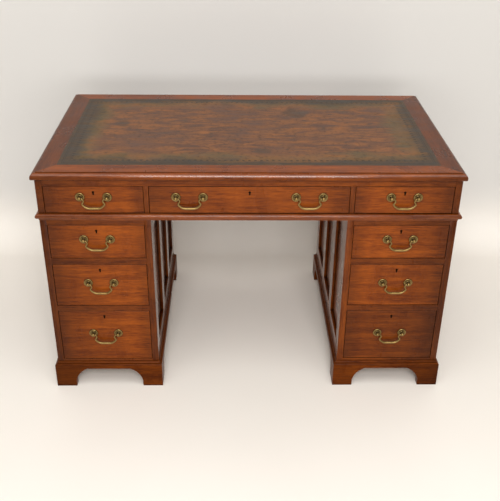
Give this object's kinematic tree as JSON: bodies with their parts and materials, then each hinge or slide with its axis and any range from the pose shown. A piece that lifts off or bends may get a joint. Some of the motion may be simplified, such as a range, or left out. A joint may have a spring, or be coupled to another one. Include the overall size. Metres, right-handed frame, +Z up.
{
  "type": "pedestal desk",
  "caption": "Kneehole writing desk with a leather inset top over a frieze of drawers, on pedestals of drawers with swinging brass bails and bracket plinths.",
  "frame": {"origin": "on the floor under the middle of the desk's outer box", "axes": "+X to the right of a viewer in front of the drawers, +Y from the drawer fronts to the back, +Z up"},
  "size_m": [1.27, 0.752, 0.769],
  "materials": {
    "mahogany": "polished",
    "secondary_wood": "bare",
    "leather": "worn",
    "aged_brass": "aged"
  },
  "bodies": {
    "desk": {"top_core_panel": "secondary_wood", "leather_writing_surface": "leather", "top_border_rails": "mahogany", "frieze_end_left": "mahogany", "frieze_end_right": "mahogany", "frieze_back": "mahogany", "frieze_rails": "mahogany", "frieze_partitions": "mahogany", "frieze_runners": "secondary_wood", "waist_moulding": "mahogany", "locating_battens": "secondary_wood", "left_pedestal_outer_side": "mahogany", "left_pedestal_inner_side": "mahogany", "left_pedestal_back": "mahogany", "left_pedestal_drawer_rails": "mahogany", "left_pedestal_runners": "secondary_wood", "left_pedestal_plinth": "mahogany", "right_pedestal_outer_side": "mahogany", "right_pedestal_inner_side": "mahogany", "right_pedestal_back": "mahogany", "right_pedestal_drawer_rails": "mahogany", "right_pedestal_runners": "secondary_wood", "right_pedestal_plinth": "mahogany"},
    "frieze_left_drawer": {"frieze_left_drawer_front": "mahogany", "frieze_left_drawer_box": "secondary_wood", "frieze_left_drawer_fittings": "aged_brass"},
    "frieze_left_drawer_bail": {"frieze_left_drawer_bail": "aged_brass"},
    "frieze_centre_drawer": {"frieze_centre_drawer_front": "mahogany", "frieze_centre_drawer_box": "secondary_wood", "frieze_centre_drawer_fittings": "aged_brass"},
    "frieze_centre_drawer_left_bail": {"frieze_centre_drawer_left_bail": "aged_brass"},
    "frieze_centre_drawer_right_bail": {"frieze_centre_drawer_right_bail": "aged_brass"},
    "frieze_right_drawer": {"frieze_right_drawer_front": "mahogany", "frieze_right_drawer_box": "secondary_wood", "frieze_right_drawer_fittings": "aged_brass"},
    "frieze_right_drawer_bail": {"frieze_right_drawer_bail": "aged_brass"},
    "left_lower_drawer": {"left_lower_drawer_front": "mahogany", "left_lower_drawer_box": "secondary_wood", "left_lower_drawer_fittings": "aged_brass"},
    "left_lower_drawer_bail": {"left_lower_drawer_bail": "aged_brass"},
    "left_middle_drawer": {"left_middle_drawer_front": "mahogany", "left_middle_drawer_box": "secondary_wood", "left_middle_drawer_fittings": "aged_brass"},
    "left_middle_drawer_bail": {"left_middle_drawer_bail": "aged_brass"},
    "left_upper_drawer": {"left_upper_drawer_front": "mahogany", "left_upper_drawer_box": "secondary_wood", "left_upper_drawer_fittings": "aged_brass"},
    "left_upper_drawer_bail": {"left_upper_drawer_bail": "aged_brass"},
    "right_lower_drawer": {"right_lower_drawer_front": "mahogany", "right_lower_drawer_box": "secondary_wood", "right_lower_drawer_fittings": "aged_brass"},
    "right_lower_drawer_bail": {"right_lower_drawer_bail": "aged_brass"},
    "right_middle_drawer": {"right_middle_drawer_front": "mahogany", "right_middle_drawer_box": "secondary_wood", "right_middle_drawer_fittings": "aged_brass"},
    "right_middle_drawer_bail": {"right_middle_drawer_bail": "aged_brass"},
    "right_upper_drawer": {"right_upper_drawer_front": "mahogany", "right_upper_drawer_box": "secondary_wood", "right_upper_drawer_fittings": "aged_brass"},
    "right_upper_drawer_bail": {"right_upper_drawer_bail": "aged_brass"}
  },
  "joints": [
    {"name": "frieze_left_drawer_slide", "type": "slide", "parent": "desk", "child": "frieze_left_drawer", "axis": [0, -1, 0], "range_m": [0, 0.45]},
    {"name": "frieze_left_drawer_bail_swing", "type": "hinge", "parent": "frieze_left_drawer", "child": "frieze_left_drawer_bail", "pos_m": [-0.458, -0.3715, 0.691], "axis": [-1, 0, 0], "range_deg": [-6, 140]},
    {"name": "frieze_centre_drawer_slide", "type": "slide", "parent": "desk", "child": "frieze_centre_drawer", "axis": [0, -1, 0], "range_m": [0, 0.45]},
    {"name": "frieze_centre_drawer_left_bail_swing", "type": "hinge", "parent": "frieze_centre_drawer", "child": "frieze_centre_drawer_left_bail", "pos_m": [-0.177, -0.3715, 0.691], "axis": [-1, 0, 0], "range_deg": [-6, 140]},
    {"name": "frieze_centre_drawer_right_bail_swing", "type": "hinge", "parent": "frieze_centre_drawer", "child": "frieze_centre_drawer_right_bail", "pos_m": [0.177, -0.3715, 0.691], "axis": [-1, 0, 0], "range_deg": [-6, 140]},
    {"name": "frieze_right_drawer_slide", "type": "slide", "parent": "desk", "child": "frieze_right_drawer", "axis": [0, -1, 0], "range_m": [0, 0.45]},
    {"name": "frieze_right_drawer_bail_swing", "type": "hinge", "parent": "frieze_right_drawer", "child": "frieze_right_drawer_bail", "pos_m": [0.458, -0.3715, 0.691], "axis": [-1, 0, 0], "range_deg": [-6, 140]},
    {"name": "left_lower_drawer_slide", "type": "slide", "parent": "desk", "child": "left_lower_drawer", "axis": [0, -1, 0], "range_m": [0, 0.45]},
    {"name": "left_lower_drawer_bail_swing", "type": "hinge", "parent": "left_lower_drawer", "child": "left_lower_drawer_bail", "pos_m": [-0.4595, -0.3715, 0.20733], "axis": [-1, 0, 0], "range_deg": [-6, 140]},
    {"name": "left_middle_drawer_slide", "type": "slide", "parent": "desk", "child": "left_middle_drawer", "axis": [0, -1, 0], "range_m": [0, 0.45]},
    {"name": "left_middle_drawer_bail_swing", "type": "hinge", "parent": "left_middle_drawer", "child": "left_middle_drawer_bail", "pos_m": [-0.4595, -0.3715, 0.397], "axis": [-1, 0, 0], "range_deg": [-6, 140]},
    {"name": "left_upper_drawer_slide", "type": "slide", "parent": "desk", "child": "left_upper_drawer", "axis": [0, -1, 0], "range_m": [0, 0.45]},
    {"name": "left_upper_drawer_bail_swing", "type": "hinge", "parent": "left_upper_drawer", "child": "left_upper_drawer_bail", "pos_m": [-0.4595, -0.3715, 0.55067], "axis": [-1, 0, 0], "range_deg": [-6, 140]},
    {"name": "right_lower_drawer_slide", "type": "slide", "parent": "desk", "child": "right_lower_drawer", "axis": [0, -1, 0], "range_m": [0, 0.45]},
    {"name": "right_lower_drawer_bail_swing", "type": "hinge", "parent": "right_lower_drawer", "child": "right_lower_drawer_bail", "pos_m": [0.4595, -0.3715, 0.20733], "axis": [-1, 0, 0], "range_deg": [-6, 140]},
    {"name": "right_middle_drawer_slide", "type": "slide", "parent": "desk", "child": "right_middle_drawer", "axis": [0, -1, 0], "range_m": [0, 0.45]},
    {"name": "right_middle_drawer_bail_swing", "type": "hinge", "parent": "right_middle_drawer", "child": "right_middle_drawer_bail", "pos_m": [0.4595, -0.3715, 0.397], "axis": [-1, 0, 0], "range_deg": [-6, 140]},
    {"name": "right_upper_drawer_slide", "type": "slide", "parent": "desk", "child": "right_upper_drawer", "axis": [0, -1, 0], "range_m": [0, 0.45]},
    {"name": "right_upper_drawer_bail_swing", "type": "hinge", "parent": "right_upper_drawer", "child": "right_upper_drawer_bail", "pos_m": [0.4595, -0.3715, 0.55067], "axis": [-1, 0, 0], "range_deg": [-6, 140]}
  ]
}
